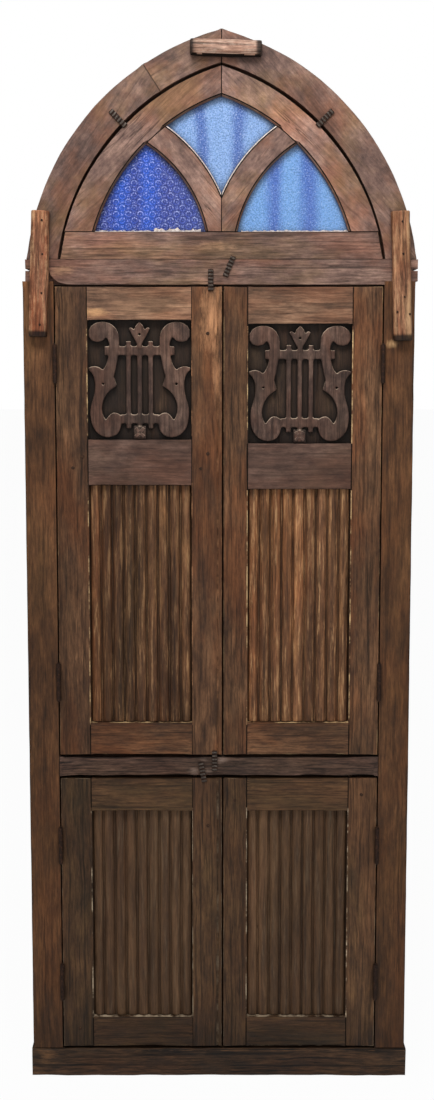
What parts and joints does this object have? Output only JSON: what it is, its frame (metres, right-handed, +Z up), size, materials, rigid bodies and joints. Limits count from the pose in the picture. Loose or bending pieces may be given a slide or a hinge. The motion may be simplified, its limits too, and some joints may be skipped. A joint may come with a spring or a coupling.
{
  "type": "arched church window",
  "caption": "Tall pointed-arch wooden window: framed opening with hinged upper and lower panelled leaves, carved lyre panels, reeded panels and a blue-glazed traceried fanlight.",
  "frame": {"origin": "middle of the sill's underside, halfway through the frame's depth", "axes": "+X to the right seen from the front, +Y back through the window, +Z up"},
  "size_m": [0.922, 0.121, 2.5],
  "materials": {
    "frame_wood": "weathered brown softwood, worn matt, grain along each piece",
    "leaf_wood": "weathered dark brown wood, worn matt",
    "panel_wood": "weathered brown wood with pale worn streaks",
    "cleat_wood": "newer orange-brown wood, rough sawn",
    "iron": "rusted dark iron",
    "cobalt_glass": "deep blue patterned glass",
    "pale_blue_glass": "lighter blue patterned glass",
    "putty": "old dry putty"
  },
  "bodies": {
    "frame": {"arch_left_lower": "frame_wood", "arch_left_upper": "frame_wood", "arch_right": "frame_wood", "cleat_left": "cleat_wood", "cleat_right": "cleat_wood", "cleat_top": "cleat_wood", "fanlight_mullion_left": "frame_wood", "fanlight_mullion_right": "frame_wood", "fanlight_rail": "frame_wood", "fanlight_rib_left": "frame_wood", "fanlight_rib_right": "frame_wood", "fanlight_straps": "iron", "glass_centre": "pale_blue_glass", "glass_left": "cobalt_glass", "glass_right": "pale_blue_glass", "hinge_frame_flaps": "iron", "hinge_pins": "iron", "left_jamb": "frame_wood", "lower_meeting_post": "frame_wood", "mid_transom": "frame_wood", "putty_centre": "putty", "putty_left": "putty", "putty_right": "putty", "right_jamb": "frame_wood", "sill": "frame_wood", "transom": "frame_wood", "upper_meeting_post": "frame_wood"},
    "upper_left_leaf": {"upper_left_bottom_rail": "leaf_wood", "upper_left_hinge_flaps": "iron", "upper_left_hinge_stile": "leaf_wood", "upper_left_lock_rail": "leaf_wood", "upper_left_lyre": "panel_wood", "upper_left_lyre_panel": "panel_wood", "upper_left_meeting_stile": "leaf_wood", "upper_left_reeded_panel": "panel_wood", "upper_left_straps": "iron", "upper_left_top_rail": "leaf_wood"},
    "upper_right_leaf": {"upper_right_bottom_rail": "leaf_wood", "upper_right_hinge_flaps": "iron", "upper_right_hinge_stile": "leaf_wood", "upper_right_lock_rail": "leaf_wood", "upper_right_lyre": "panel_wood", "upper_right_lyre_panel": "panel_wood", "upper_right_meeting_stile": "leaf_wood", "upper_right_reeded_panel": "panel_wood", "upper_right_top_rail": "leaf_wood"},
    "lower_left_leaf": {"lower_left_bottom_rail": "leaf_wood", "lower_left_hinge_flaps": "iron", "lower_left_hinge_stile": "leaf_wood", "lower_left_meeting_stile": "leaf_wood", "lower_left_reeded_panel": "panel_wood", "lower_left_strap": "iron", "lower_left_top_rail": "leaf_wood"},
    "lower_right_leaf": {"lower_right_bottom_rail": "leaf_wood", "lower_right_hinge_flaps": "iron", "lower_right_hinge_stile": "leaf_wood", "lower_right_meeting_stile": "leaf_wood", "lower_right_reeded_panel": "panel_wood", "lower_right_top_rail": "leaf_wood"}
  },
  "joints": [
    {"name": "upper_left_swing", "type": "hinge", "parent": "frame", "child": "upper_left_leaf", "pos_m": [-0.3825, -0.0534, 1.3645], "axis": [0, 0, -1], "range_deg": [0, 110]},
    {"name": "upper_right_swing", "type": "hinge", "parent": "frame", "child": "upper_right_leaf", "pos_m": [0.3825, -0.0534, 1.3645], "axis": [0, 0, 1], "range_deg": [0, 110]},
    {"name": "lower_left_swing", "type": "hinge", "parent": "frame", "child": "lower_left_leaf", "pos_m": [-0.3825, -0.0534, 0.413], "axis": [0, 0, -1], "range_deg": [0, 165]},
    {"name": "lower_right_swing", "type": "hinge", "parent": "frame", "child": "lower_right_leaf", "pos_m": [0.3825, -0.0534, 0.413], "axis": [0, 0, 1], "range_deg": [0, 165]}
  ]
}
